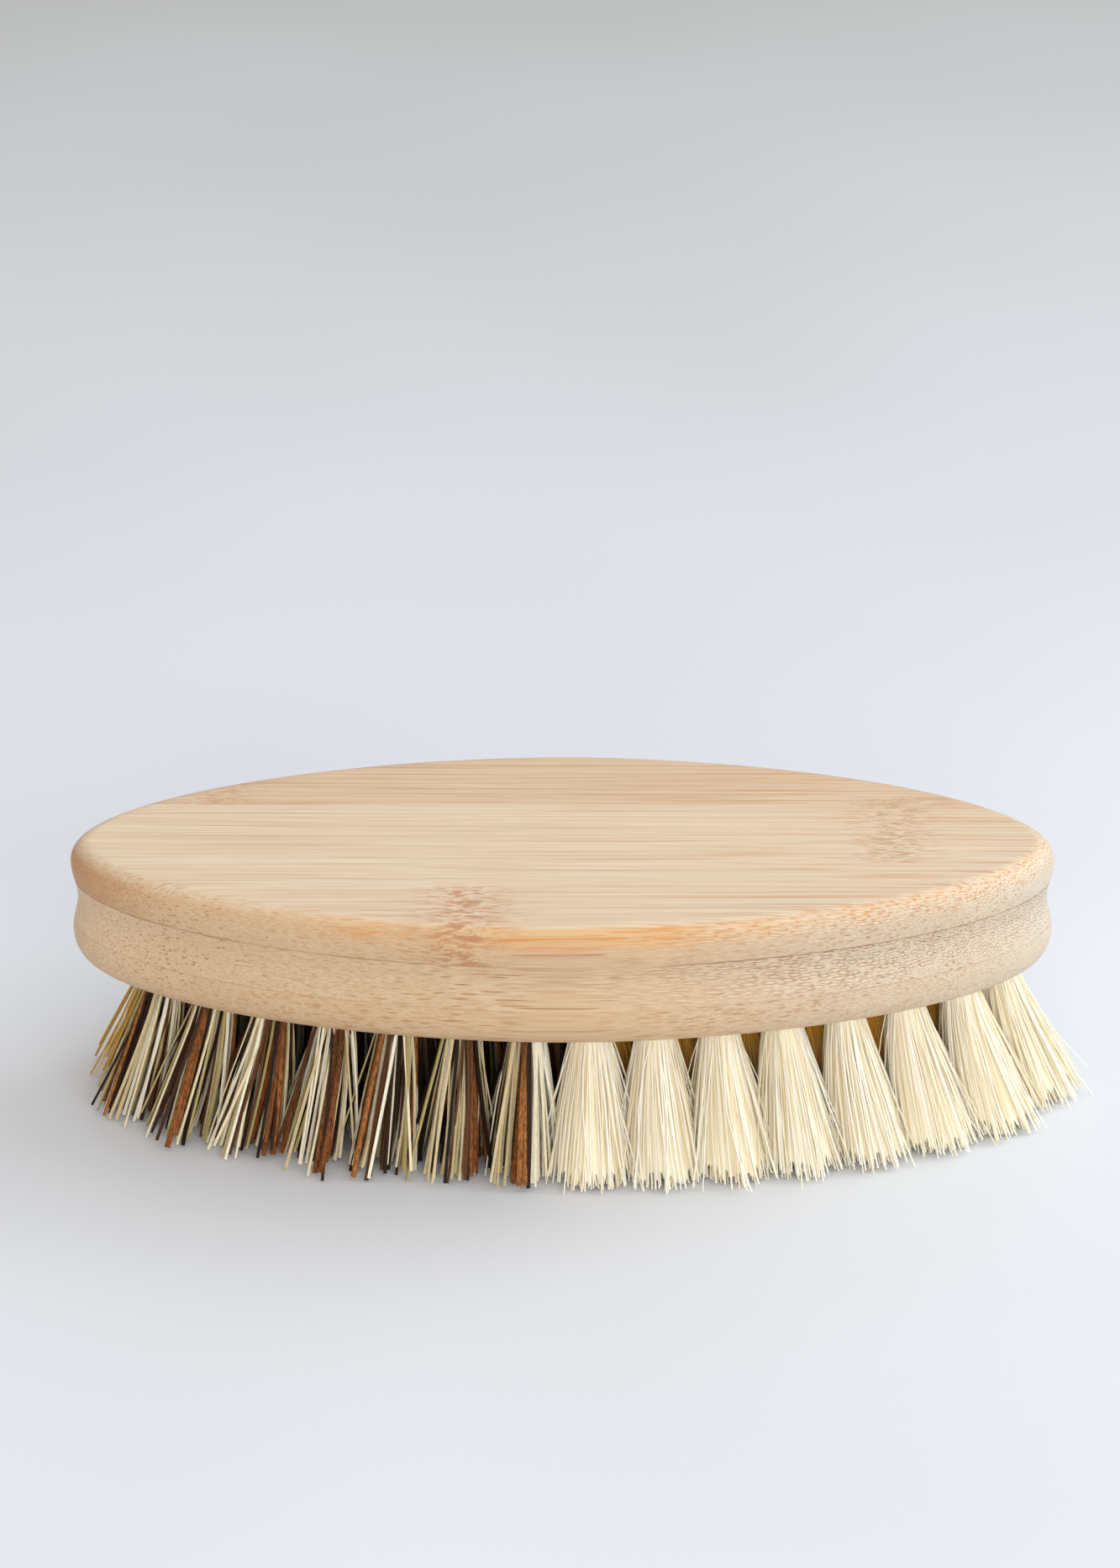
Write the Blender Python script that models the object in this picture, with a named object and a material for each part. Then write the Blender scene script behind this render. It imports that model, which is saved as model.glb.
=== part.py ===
"""Vegetable brush: a palm-sized bamboo block with two kinds of plant fibre set in its underside.

The block is a pointed oval cut from a board of three glued bamboo plies, with a hollow run
round its side for the fingers. Its underside is drilled with an outer ring, an inner ring and
a centre row of blind holes that splay outwards. In each hole sits a tuft: a bundle of fibres
folded in half over a flat wire anchor and trimmed level with the others. The half at -X has a
stiff mix of brown and pale fibres, the half at +X has soft cream fibres.

+X runs along the block, +Z is up, and the origin is on the floor below the middle of the tufts,
on whose fibre tips the brush stands.
"""

import math

import bmesh
import bpy
from mathutils import Matrix, Vector

# Block
BLOCK_LENGTH = 0.135
BLOCK_WIDTH = 0.052
BLOCK_SHIFT = 0.00175  # the block stands this far towards -X of the pattern drilled in it
OUTLINE_POWER = 1.83  # 2 would be an ellipse, less draws the two ends to a point
BOTTOM_PLY = 0.0064
MIDDLE_PLY = 0.0066
TOP_PLY = 0.0056
OUTLINE_FACETS = 96

# Side of the block, as the router leaves it
TOP_ROUND_WIDTH = 0.0028
TOP_ROUND_HEIGHT = 0.0030
GROOVE_DEPTH = 0.0008
GROOVE_TOP_EDGE = 0.0032  # from the top face down to where the groove starts
BOTTOM_ROUND_WIDTH = 0.0036
BOTTOM_ROUND_HEIGHT = 0.0050
ROUND_STEPS = 4
GROOVE_STEPS = 8
LEAST_STEP = 0.0003  # the side has no two levels closer than this

# Holes
OUTER_TUFTS = 29
INNER_TUFTS = 22
CENTRE_TUFTS = 4
END_MARGIN = 0.0095  # from the block's ends to the outer ring of hole centres
SIDE_MARGIN = 0.0073  # from the block's sides to the same ring
RING_STEP_AT_ENDS = 1.3  # from the outer ring in to the inner one, in places of the outer ring
FREE_PLACES_IN_ROW = 4  # places of the centre row that stay empty, half at each end
HOLE_DIAMETER = 0.0054
HOLE_FLOOR = 0.0018  # wood left between the holes and the upper glue line
HOLE_SIDES = 8
DRILL_OVERRUN = 0.002

# Tufts
FIBRE_LENGTH = 0.0209  # from the underside of the block to the floor
END_LEAN = 0.0060  # how far the tips of the end tufts stand out from their holes
SIDE_LEAN = 0.0040
FIT_CLEARANCE = 0.0003  # between a folded tuft and its hole, all round
STRANDS = 8
STRAND_SIDES = 3
STRAND_ROOT_WIDTH = 0.0013
STRAND_TIP_WIDTH = 0.0024  # a strand is a lock of fibres, and opens as they spread
STRAND_GAP = 0.0005  # between the outermost strands of two neighbouring tufts, at their tips
STRAND_RIM = 0.0002  # from the outer strands to the edge of the folded root
STRAND_SINK = 0.0008  # how far a strand runs up into the folded root
TIP_TRIM = 0.0005  # the standing tips are planed flat by this much

# Anchors
ANCHOR_THICKNESS = 0.0006
ANCHOR_HEIGHT = 0.0016
ANCHOR_DROP = 0.0010  # from the end of the fold down to the anchor
ANCHOR_WALL_GAP = 0.0001

HALF_LENGTH = BLOCK_LENGTH / 2
HALF_WIDTH = BLOCK_WIDTH / 2
UNDERSIDE = FIBRE_LENGTH
LOWER_GLUE_LINE = UNDERSIDE + BOTTOM_PLY
UPPER_GLUE_LINE = LOWER_GLUE_LINE + MIDDLE_PLY
TOP_FACE = UPPER_GLUE_LINE + TOP_PLY
HOLE_DEPTH = UPPER_GLUE_LINE - HOLE_FLOOR - UNDERSIDE
HOLE_RADIUS = HOLE_DIAMETER / 2
ROOT_DEPTH = HOLE_DEPTH - FIT_CLEARANCE
ROOT_RADIUS = HOLE_RADIUS - FIT_CLEARANCE
OUTER_RING_X = HALF_LENGTH - END_MARGIN
OUTER_RING_Y = HALF_WIDTH - SIDE_MARGIN
DOWN = Vector((0, 0, -1))


def clear_scene():
    for obj in list(bpy.data.objects):
        bpy.data.objects.remove(obj, do_unlink=True)


def new_collection(name):
    collection = bpy.data.collections.new(name)
    bpy.context.scene.collection.children.link(collection)
    return collection


def material(name, colour, roughness, metallic=0.0):
    made = bpy.data.materials.new(name)
    made.use_nodes = True
    made.diffuse_color = (*colour, 1.0)
    shader = made.node_tree.nodes["Principled BSDF"]
    shader.inputs["Base Color"].default_value = (*colour, 1.0)
    shader.inputs["Roughness"].default_value = roughness
    shader.inputs["Metallic"].default_value = metallic
    return made


def object_from(bm, name, collection, finish=None, location=(0, 0, 0)):
    """One object from a bmesh, with its faces pointing out."""
    bmesh.ops.recalc_face_normals(bm, faces=bm.faces)
    mesh = bpy.data.meshes.new(name)
    bm.to_mesh(mesh)
    bm.free()
    if finish:
        mesh.materials.append(finish)
    obj = bpy.data.objects.new(name, mesh)
    obj.location = location
    collection.objects.link(obj)
    return obj


def as_helper(obj):
    obj.hide_render = True
    obj.display_type = "WIRE"
    return obj


def boolean(obj, other, operation):
    modifier = obj.modifiers.new(f"{operation.lower()} {other.name}", "BOOLEAN")
    modifier.operation = operation
    modifier.solver = "EXACT"
    modifier.use_self = operation == "UNION"
    modifier.object = other


def smooth(obj, sharp_degrees):
    obj.data.shade_smooth()
    obj.data.set_sharp_from_angle(angle=math.radians(sharp_degrees))


def signed_power(value, power):
    return math.copysign(abs(value) ** power, value)


def oval(turn, half_x, half_y, inset=0.0):
    """The point at an angle round a pointed oval, moved in from its edge along the normal."""
    x = signed_power(math.cos(turn), 2 / OUTLINE_POWER)
    y = signed_power(math.sin(turn), 2 / OUTLINE_POWER)
    slope_x = signed_power(x, OUTLINE_POWER - 1) / half_x
    slope_y = signed_power(y, OUTLINE_POWER - 1) / half_y
    outwards = Vector((slope_x, slope_y)).normalized()
    return Vector((x * half_x, y * half_y)) - inset * outwards


def rounded_inset(rise, width):
    """How far an elliptical rounding stands in, at a share of its height."""
    return width * (1 - math.sqrt(1 - min(1.0, rise) ** 2))


def side_inset(z):
    """How far the side of the block stands in from its outline at a height."""
    crest = UNDERSIDE + BOTTOM_ROUND_HEIGHT
    groove_top = TOP_FACE - GROOVE_TOP_EDGE
    shoulder = TOP_FACE - TOP_ROUND_HEIGHT
    if z < crest:
        return rounded_inset((crest - z) / BOTTOM_ROUND_HEIGHT, BOTTOM_ROUND_WIDTH)
    if z < groove_top:
        along = (z - crest) / (groove_top - crest)
        return GROOVE_DEPTH * math.sin(math.pi * along) ** 2
    return rounded_inset(max(0.0, z - shoulder) / TOP_ROUND_HEIGHT, TOP_ROUND_WIDTH)


def side_levels(bottom, top):
    """The heights between two glue lines or faces at which the side needs a ring of points."""
    crest = UNDERSIDE + BOTTOM_ROUND_HEIGHT
    groove_top = TOP_FACE - GROOVE_TOP_EDGE
    shoulder = TOP_FACE - TOP_ROUND_HEIGHT
    heights = []
    for step in range(ROUND_STEPS + 1):
        share = math.sin(math.pi / 2 * step / ROUND_STEPS)
        heights.append(crest - BOTTOM_ROUND_HEIGHT * share)
        heights.append(shoulder + TOP_ROUND_HEIGHT * share)
    for step in range(1, GROOVE_STEPS + 1):
        heights.append(crest + (groove_top - crest) * step / GROOVE_STEPS)
    levels = [bottom]
    for z in sorted(heights):
        if levels[-1] + LEAST_STEP < z < top - LEAST_STEP:
            levels.append(z)
    return [*levels, top]


def ply(name, bottom, top, collection, finish):
    """The slice of the routed block between two heights."""
    bm = bmesh.new()
    turn = bm.verts.layers.float.new("turn")
    ring = bmesh.ops.create_circle(bm, segments=OUTLINE_FACETS, radius=1.0)["verts"]
    for vert in ring:
        vert[turn] = math.atan2(vert.co.y, vert.co.x)
    edges = list(bm.edges)
    for number, z in enumerate(side_levels(bottom, top)):
        if number:
            made = bmesh.ops.extrude_edge_only(bm, edges=edges)["geom"]
            edges = [item for item in made if isinstance(item, bmesh.types.BMEdge)]
            ring = [item for item in made if isinstance(item, bmesh.types.BMVert)]
        for vert in ring:
            place = oval(vert[turn], HALF_LENGTH, HALF_WIDTH, side_inset(z))
            vert.co = (place.x - BLOCK_SHIFT, place.y, z)
    open_edges = [edge for edge in bm.edges if edge.is_boundary]
    bmesh.ops.holes_fill(bm, edges=open_edges, sides=OUTLINE_FACETS)
    made = object_from(bm, name, collection, finish)
    smooth(made, 40)
    return made


def ring_places(count, half_x, half_y):
    """Points spaced evenly by length round a pointed oval, from its +X end."""
    fine = 1440
    walk = [oval(math.tau * step / fine, half_x, half_y) for step in range(fine + 1)]
    lengths = [0.0]
    for before, after in zip(walk, walk[1:]):
        lengths.append(lengths[-1] + (after - before).length)
    places = []
    step = 0
    for number in range(count):
        target = lengths[-1] * number / count
        while lengths[step + 1] < target:
            step += 1
        share = (target - lengths[step]) / (lengths[step + 1] - lengths[step])
        places.append(walk[step].lerp(walk[step + 1], share))
    return places


def tuft_places():
    """The name and the hole centre of every tuft, on the underside."""
    outer = ring_places(OUTER_TUFTS, OUTER_RING_X, OUTER_RING_Y)
    pitch = (outer[1] - outer[0]).length
    inner_x = OUTER_RING_X - RING_STEP_AT_ENDS * pitch
    inner = ring_places(INNER_TUFTS, inner_x, OUTER_RING_Y / 2)
    row_pitch = 2 * inner_x / (CENTRE_TUFTS + FREE_PLACES_IN_ROW)
    first_x = -row_pitch * (CENTRE_TUFTS - 1) / 2
    centre = [Vector((first_x + row_pitch * number, 0)) for number in range(CENTRE_TUFTS)]
    named = {}
    for group, places in (("outer", outer), ("inner", inner), ("centre", centre)):
        for number, place in enumerate(places, start=1):
            named[f"{group}_tuft_{number:02d}"] = place
    return named


def tip_shift(place):
    """How far the middle of a tuft has moved out by the time it reaches the floor."""
    return Vector((place.x * END_LEAN / OUTER_RING_X, place.y * SIDE_LEAN / OUTER_RING_Y))


def fan_radius(place, places):
    """Half the way, on the floor, from the middle of a tuft to that of its nearest neighbour."""
    tip = place + tip_shift(place)
    others = (other + tip_shift(other) for other in places if other != place)
    return (min((tip - other).length for other in others) - STRAND_GAP) / 2


def hole_axis(place):
    """The direction of a hole, from its floor out to its mouth."""
    return Vector((*tip_shift(place), -FIBRE_LENGTH)).normalized()


def between(start, end):
    """The placing of a piece that is centred between two points, its Z along them."""
    turned = (end - start).to_track_quat("Z", "X").to_matrix().to_4x4()
    return Matrix.Translation((start + end) / 2) @ turned


def rod(bm, start, end, sides, start_radius, end_radius, turn=0.0):
    """A straight or tapered rod between two points, added to a bmesh."""
    bmesh.ops.create_cone(
        bm,
        cap_ends=True,
        segments=sides,
        radius1=start_radius,
        radius2=end_radius,
        depth=(end - start).length,
        matrix=between(start, end) @ Matrix.Rotation(turn, 4, "Z"),
    )


def trim_below(bm, z):
    """Saws off everything under a level and closes the cut."""
    cut = bmesh.ops.bisect_plane(
        bm,
        geom=[*bm.verts, *bm.edges, *bm.faces],
        plane_co=(0, 0, z),
        plane_no=DOWN,
        clear_outer=True,
    )["geom_cut"]
    edges = [item for item in cut if isinstance(item, bmesh.types.BMEdge)]
    bmesh.ops.holes_fill(bm, edges=edges, sides=0)


def facet_radius(flat_radius, sides):
    """The corner radius of a prism whose flats stand at a given radius."""
    return flat_radius / math.cos(math.pi / sides)


def drill(places, collection):
    """All the splayed holes as one cutter."""
    bm = bmesh.new()
    radius = facet_radius(HOLE_RADIUS, HOLE_SIDES)
    for place in places:
        axis = hole_axis(place)
        mouth = Vector((*place, UNDERSIDE))
        rod(bm, mouth - axis * HOLE_DEPTH, mouth + axis * DRILL_OVERRUN, HOLE_SIDES, radius, radius)
    return as_helper(object_from(bm, "drilled_holes", collection))


def root_of(place):
    """The folded end of a tuft, which fills its hole and is level with the underside."""
    bm = bmesh.new()
    radius = facet_radius(ROOT_RADIUS, HOLE_SIDES)
    axis = hole_axis(place)
    rod(bm, -axis * ROOT_DEPTH, axis * DRILL_OVERRUN, HOLE_SIDES, radius, radius)
    trim_below(bm, 0.0)
    return bm


def anchor_of(place):
    """The flat wire that pins the fold, its ends close to the wall of the hole."""
    bm = bmesh.new()
    axis = hole_axis(place)
    upper_edge = -axis * (ROOT_DEPTH - ANCHOR_DROP)
    lower_edge = upper_edge + axis * ANCHOR_HEIGHT
    across = Matrix.Rotation(math.pi / HOLE_SIDES, 4, "Z")
    length = 2 * (HOLE_RADIUS - ANCHOR_WALL_GAP)
    size = Matrix.Diagonal((length, ANCHOR_THICKNESS, ANCHOR_HEIGHT, 1.0))
    bmesh.ops.create_cube(bm, size=1.0, matrix=between(upper_edge, lower_edge) @ across @ size)
    return bm


def strands_of(place, tip_radius):
    """One strand in the middle and the others round it, the first on the side it leans to."""
    bm = bmesh.new()
    shift = tip_shift(place)
    outwards = math.atan2(shift.y, shift.x)
    around = STRANDS - 1
    root_ring = ROOT_RADIUS - STRAND_RIM - STRAND_ROOT_WIDTH / 2
    tip_ring = tip_radius - STRAND_TIP_WIDTH / 2
    for number in range(STRANDS):
        turn = outwards + math.tau * number / around
        facing = Vector((math.cos(turn), math.sin(turn)))
        if number == around:
            facing = Vector((0.0, 0.0))
        mouth = Vector((*(facing * root_ring), 0.0))
        tip = Vector((*(shift + facing * tip_ring), -FIBRE_LENGTH))
        along = (tip - mouth).normalized()
        rod(
            bm,
            mouth - along * STRAND_SINK,
            tip + along * TIP_TRIM,
            STRAND_SIDES,
            STRAND_ROOT_WIDTH / 2,
            STRAND_TIP_WIDTH / 2,
            turn,
        )
    trim_below(bm, -FIBRE_LENGTH)
    return bm


def tuft(name, place, tip_radius, collection, helpers, finish):
    """One tuft: its folded root, its anchor and its strands, in one piece."""
    mouth = (*place, UNDERSIDE)
    obj = object_from(root_of(place), name, collection, finish, mouth)
    anchor = as_helper(object_from(anchor_of(place), f"{name}_anchor", helpers, None, mouth))
    strands = as_helper(
        object_from(strands_of(place, tip_radius), f"{name}_strands", helpers, None, mouth)
    )
    boolean(obj, anchor, "UNION")
    boolean(obj, strands, "UNION")
    return obj


def build():
    clear_scene()
    parts = new_collection("vegetable_brush")
    helpers = new_collection("cutters")
    bamboo = material("bamboo", (0.73, 0.52, 0.30), 0.55)
    stiff_fibre = material("stiff_mixed_fibre", (0.30, 0.22, 0.12), 0.75)
    soft_fibre = material("soft_cream_fibre", (0.78, 0.68, 0.45), 0.70)

    bottom_ply = ply("bottom_ply", UNDERSIDE, LOWER_GLUE_LINE, parts, bamboo)
    middle_ply = ply("middle_ply", LOWER_GLUE_LINE, UPPER_GLUE_LINE, parts, bamboo)
    ply("top_ply", UPPER_GLUE_LINE, TOP_FACE, parts, bamboo)

    named = tuft_places()
    places = list(named.values())
    holes = drill(places, helpers)
    boolean(bottom_ply, holes, "DIFFERENCE")
    boolean(middle_ply, holes, "DIFFERENCE")
    for name, place in named.items():
        finish = stiff_fibre if place.x < 0 else soft_fibre
        tuft(name, place, fan_radius(place, places), parts, helpers, finish)


build()
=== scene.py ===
import math
import random

import bmesh
import bpy
from mathutils import Matrix, Vector


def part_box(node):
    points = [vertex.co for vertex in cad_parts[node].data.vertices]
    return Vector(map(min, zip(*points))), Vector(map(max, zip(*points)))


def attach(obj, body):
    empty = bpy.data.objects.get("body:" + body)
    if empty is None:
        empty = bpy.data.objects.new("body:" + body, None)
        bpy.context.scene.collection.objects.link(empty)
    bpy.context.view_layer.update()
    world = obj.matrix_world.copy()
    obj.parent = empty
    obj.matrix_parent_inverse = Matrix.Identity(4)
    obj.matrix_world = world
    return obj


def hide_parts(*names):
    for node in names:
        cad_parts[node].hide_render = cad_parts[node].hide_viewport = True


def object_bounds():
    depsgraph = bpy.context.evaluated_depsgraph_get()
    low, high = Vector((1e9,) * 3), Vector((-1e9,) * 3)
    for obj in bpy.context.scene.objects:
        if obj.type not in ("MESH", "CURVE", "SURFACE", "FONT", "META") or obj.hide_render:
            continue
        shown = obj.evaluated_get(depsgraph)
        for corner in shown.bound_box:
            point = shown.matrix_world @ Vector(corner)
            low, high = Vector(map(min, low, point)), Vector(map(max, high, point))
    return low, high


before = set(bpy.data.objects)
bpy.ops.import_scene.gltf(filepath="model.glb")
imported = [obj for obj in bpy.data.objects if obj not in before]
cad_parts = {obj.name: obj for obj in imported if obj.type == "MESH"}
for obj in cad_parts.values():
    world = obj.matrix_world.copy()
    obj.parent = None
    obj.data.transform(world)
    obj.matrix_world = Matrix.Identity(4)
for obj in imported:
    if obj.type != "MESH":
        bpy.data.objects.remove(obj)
cad_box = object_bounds()


# The camera. It looks down on the near side of the brush through a long lens, and the
# brush sits a little below the middle of an upright picture.
LENS = 155.8
CAMERA_TILT = math.radians(28.48)
CAMERA_TURN = math.radians(0.65)
CAMERA_ROLL = math.radians(-0.28)
CAMERA_AIM = Vector((-0.00206, 0.00766, 0.04403))
CAMERA_DISTANCE = 0.93478
NEAREST_SEEN = 0.05
FARTHEST_SEEN = 40

back = Vector((0, -math.cos(CAMERA_TILT), math.sin(CAMERA_TILT)))
turned = Matrix.Rotation(CAMERA_TURN, 3, "Z")
camera = bpy.data.objects.new("camera", bpy.data.cameras.new("camera"))
camera.data.lens = LENS
camera.data.clip_start = NEAREST_SEEN
camera.data.clip_end = FARTHEST_SEEN
facing = (turned @ back).to_track_quat("Z", "Y").to_matrix() @ Matrix.Rotation(CAMERA_ROLL, 3, "Z")
camera.matrix_world = Matrix.Translation(CAMERA_AIM + turned @ back * CAMERA_DISTANCE) @ facing.to_4x4()
bpy.context.scene.collection.objects.link(camera)
bpy.context.scene.camera = camera


# The block. The real one is a pointed oval cut from a board of three glued bamboo plies.
# A router hollows its side for the fingers and rounds its edges, the underside is drilled
# for the tufts, and the bare wood is sanded and lightly oiled.
MM = 0.001
OUTLINE_POWER = 1.83
OUTLINE_FACETS = 320
TOP_ROUND_WIDTH = 0.0028
TOP_ROUND_HEIGHT = 0.0030
GROOVE_DEPTH = 0.0008
GROOVE_TOP_EDGE = 0.0032
BOTTOM_ROUND_WIDTH = 0.0036
BOTTOM_ROUND_HEIGHT = 0.0050
ROUND_STEPS = 12
GROOVE_STEPS = 30
FLAT_RIM = 0.0003
SAME_LEVEL = 0.00002
SHARP_EDGE = math.radians(35)
HOLE_RADIUS = 0.0027
HOLE_DEPTH = 0.0112
HOLE_OVERRUN = 0.002
HOLE_SIDES = 28

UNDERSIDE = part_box("bottom_ply")[0].z
LOWER_GLUE_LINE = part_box("bottom_ply")[1].z
UPPER_GLUE_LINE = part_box("middle_ply")[1].z
TOP_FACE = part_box("top_ply")[1].z
MIDDLE_X = (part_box("bottom_ply")[0].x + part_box("bottom_ply")[1].x) / 2
HALF_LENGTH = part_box("bottom_ply")[1].x - MIDDLE_X
HALF_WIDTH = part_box("bottom_ply")[1].y
CREST = UNDERSIDE + BOTTOM_ROUND_HEIGHT
GROOVE_TOP = TOP_FACE - GROOVE_TOP_EDGE
SHOULDER = TOP_FACE - TOP_ROUND_HEIGHT


def signed_power(value, power):
    return math.copysign(abs(value) ** power, value)


def oval(turn, inset):
    """The point at an angle round the block's outline, moved in along the normal."""
    x = signed_power(math.cos(turn), 2 / OUTLINE_POWER)
    y = signed_power(math.sin(turn), 2 / OUTLINE_POWER)
    slope_x = signed_power(x, OUTLINE_POWER - 1) / HALF_LENGTH
    slope_y = signed_power(y, OUTLINE_POWER - 1) / HALF_WIDTH
    outwards = Vector((slope_x, slope_y)).normalized()
    return Vector((MIDDLE_X + x * HALF_LENGTH, y * HALF_WIDTH)) - inset * outwards


def rounded_inset(rise, width):
    return width * (1 - math.sqrt(1 - min(1.0, rise) ** 2))


def side_inset(z):
    """How far the routed side stands in from the outline at a height."""
    if z < CREST:
        return rounded_inset((CREST - z) / BOTTOM_ROUND_HEIGHT, BOTTOM_ROUND_WIDTH)
    if z < GROOVE_TOP:
        return GROOVE_DEPTH * math.sin(math.pi * (z - CREST) / (GROOVE_TOP - CREST)) ** 2
    return rounded_inset(max(0.0, z - SHOULDER) / TOP_ROUND_HEIGHT, TOP_ROUND_WIDTH)


def side_levels(bottom, top):
    """The heights at which the side of a ply has a ring of points, closest on the rounded edges."""
    heights = [CREST + (GROOVE_TOP - CREST) * step / GROOVE_STEPS for step in range(GROOVE_STEPS + 1)]
    for step in range(ROUND_STEPS + 1):
        share = math.sin(math.pi / 2 * step / ROUND_STEPS)
        heights.append(CREST - BOTTOM_ROUND_HEIGHT * share)
        heights.append(SHOULDER + TOP_ROUND_HEIGHT * share)
    levels = [bottom]
    for z in sorted(heights):
        if levels[-1] + SAME_LEVEL < z < top - SAME_LEVEL:
            levels.append(z)
    return [*levels, top]


def finished(bm, name, finish):
    """Turns a bmesh into an object at the origin, with its material on."""
    mesh = bpy.data.meshes.new(name)
    bm.to_mesh(mesh)
    bm.free()
    mesh.materials.append(finish)
    made = bpy.data.objects.new(name, mesh)
    bpy.context.scene.collection.objects.link(made)
    return made


def routed_ply(name, bottom, top, finish):
    """One ply of the block, ring by ring from its lower face to its upper one."""
    bm = bmesh.new()
    turn = bm.verts.layers.float.new("turn")
    ring = bmesh.ops.create_circle(bm, segments=OUTLINE_FACETS, radius=1.0)["verts"]
    for vert in ring:
        vert[turn] = math.atan2(vert.co.y, vert.co.x)
    edges = list(bm.edges)
    for number, z in enumerate(side_levels(bottom, top)):
        if number:
            made = bmesh.ops.extrude_edge_only(bm, edges=edges)["geom"]
            edges = [item for item in made if isinstance(item, bmesh.types.BMEdge)]
            ring = [item for item in made if isinstance(item, bmesh.types.BMVert)]
        for vert in ring:
            vert.co = (*oval(vert[turn], side_inset(z)), z)
    open_edges = [edge for edge in bm.edges if edge.is_boundary]
    faces = bmesh.ops.holes_fill(bm, edges=open_edges, sides=OUTLINE_FACETS)["faces"]
    bmesh.ops.recalc_face_normals(bm, faces=bm.faces)
    bmesh.ops.inset_region(bm, faces=faces, thickness=FLAT_RIM, use_even_offset=True)
    return finished(bm, name, finish)


def tuft_seat(name):
    """Where a tuft leaves its hole, where its middle meets the floor and its reach there."""
    points = {tuple(round(part, 6) for part in vert.co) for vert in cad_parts[name].data.vertices}
    rim = [point for point in points if abs(point[2] - UNDERSIDE) < SAME_LEVEL]
    feet = [Vector(point) for point in points if point[2] < SAME_LEVEL]
    mouth = Vector((
        (min(point[0] for point in rim) + max(point[0] for point in rim)) / 2,
        (min(point[1] for point in rim) + max(point[1] for point in rim)) / 2,
        UNDERSIDE,
    ))
    foot = sum(feet, Vector()) / len(feet)
    return mouth, foot, max((point - foot).length for point in feet)


seats = {name: tuft_seat(name) for name in sorted(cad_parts) if "tuft" in name}


def drilled_holes():
    """One cutter for all the holes, each splayed the way its tuft leans."""
    bm = bmesh.new()
    for mouth, foot, _ in seats.values():
        axis = (foot - mouth).normalized()
        start = mouth - axis * HOLE_DEPTH
        end = mouth + axis * HOLE_OVERRUN
        placing = Matrix.Translation((start + end) / 2) @ axis.to_track_quat("Z", "X").to_matrix().to_4x4()
        bmesh.ops.create_cone(
            bm,
            cap_ends=True,
            segments=HOLE_SIDES,
            radius1=HOLE_RADIUS,
            radius2=HOLE_RADIUS,
            depth=(end - start).length,
            matrix=placing,
        )
    mesh = bpy.data.meshes.new("drilled_holes")
    bm.to_mesh(mesh)
    bm.free()
    cutter = bpy.data.objects.new("drilled_holes", mesh)
    bpy.context.scene.collection.objects.link(cutter)
    return cutter


def cut(piece, cutter):
    """Cuts the holes and keeps the result as the piece's own mesh."""
    hollow = piece.modifiers.new("holes", "BOOLEAN")
    hollow.operation = "DIFFERENCE"
    hollow.solver = "EXACT"
    hollow.object = cutter
    graph = bpy.context.evaluated_depsgraph_get()
    mesh = bpy.data.meshes.new_from_object(piece.evaluated_get(graph))
    piece.modifiers.clear()
    piece.data = mesh


# The bamboo of the block. Each ply is pressed from strips of several stems, glued side by side.
# Tough brown fibre bundles run along the pale stems, so that the cut block shows them as streaks
# on its top and as rings and ticks on its side, and each stem has a joint here and there.


class Value:
    """What a shader works out at every point, so that a look can be written as a plain sum."""

    def __init__(self, node, output=0):
        self.tree = node.id_data
        self.socket = node.outputs[output]

    def calc(self, operation, *others):
        return Value(add(self.tree, "ShaderNodeMath", enumerate((self, *others)), operation=operation))

    def __add__(self, other):
        return self.calc("ADD", other)

    def __sub__(self, other):
        return self.calc("SUBTRACT", other)

    def __mul__(self, other):
        return self.calc("MULTIPLY", other)

    def __truediv__(self, other):
        return self.calc("DIVIDE", other)

    def __abs__(self):
        return self.calc("ABSOLUTE")


def feed(node, inputs):
    """Sets inputs of a shader node, each to a plain value or to what another node gives."""
    for socket, value in dict(inputs).items():
        if isinstance(value, Value):
            node.id_data.links.new(value.socket, node.inputs[socket])
        else:
            node.inputs[socket].default_value = value


def add(tree, kind, inputs=(), **settings):
    """A new shader node."""
    made = tree.nodes.new(kind)
    for setting, value in settings.items():
        setattr(made, setting, value)
    feed(made, inputs)
    return made


def larger(first, second):
    return first.calc("MAXIMUM", second)


def joined(x, y, z):
    return Value(add(x.tree, "ShaderNodeCombineXYZ", {0: x, 1: y, 2: z}))


def parted(kind, whole):
    """The three parts of a place ("XYZ") or of a colour ("Color")."""
    made = add(whole.tree, f"ShaderNodeSeparate{kind}", {0: whole})
    return [Value(made, number) for number in range(3)]


def object_place(tree, unit):
    """Where a point lies on its object along X, Y and Z, in a unit of length."""
    place = Value(add(tree, "ShaderNodeTexCoord"), "Object")
    scaled = add(tree, "ShaderNodeVectorMath", {0: place, "Scale": 1 / unit}, operation="SCALE")
    return parted("XYZ", Value(scaled))


def fade(value, start, end, low=0.0, high=1.0):
    """Runs smoothly from low to high as the value goes from start to end."""
    inputs = enumerate((value, start, end, low, high))
    return Value(add(value.tree, "ShaderNodeMapRange", inputs, interpolation_type="SMOOTHSTEP"))


def blended(share, first, second):
    """A colour between two colours: inputs 6 and 7 of a mix node, and its output 2."""
    return Value(add(share.tree, "ShaderNodeMix", {0: share, 6: first, 7: second}, data_type="RGBA"), 2)


def cloudy(place, detail=2.0, roughness=0.5):
    inputs = {"Vector": place, "Scale": 1.0, "Detail": detail, "Roughness": roughness}
    return Value(add(place.tree, "ShaderNodeTexNoise", inputs))


def bumps(height, strength, distance):
    return Value(add(height.tree, "ShaderNodeBump", {
        "Height": height, "Strength": strength, "Distance": distance,
    }))


def new_finish(name):
    """A plain material and its shader."""
    made = bpy.data.materials.new(name)
    made.use_nodes = True
    return made, made.node_tree.nodes["Principled BSDF"]


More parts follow.
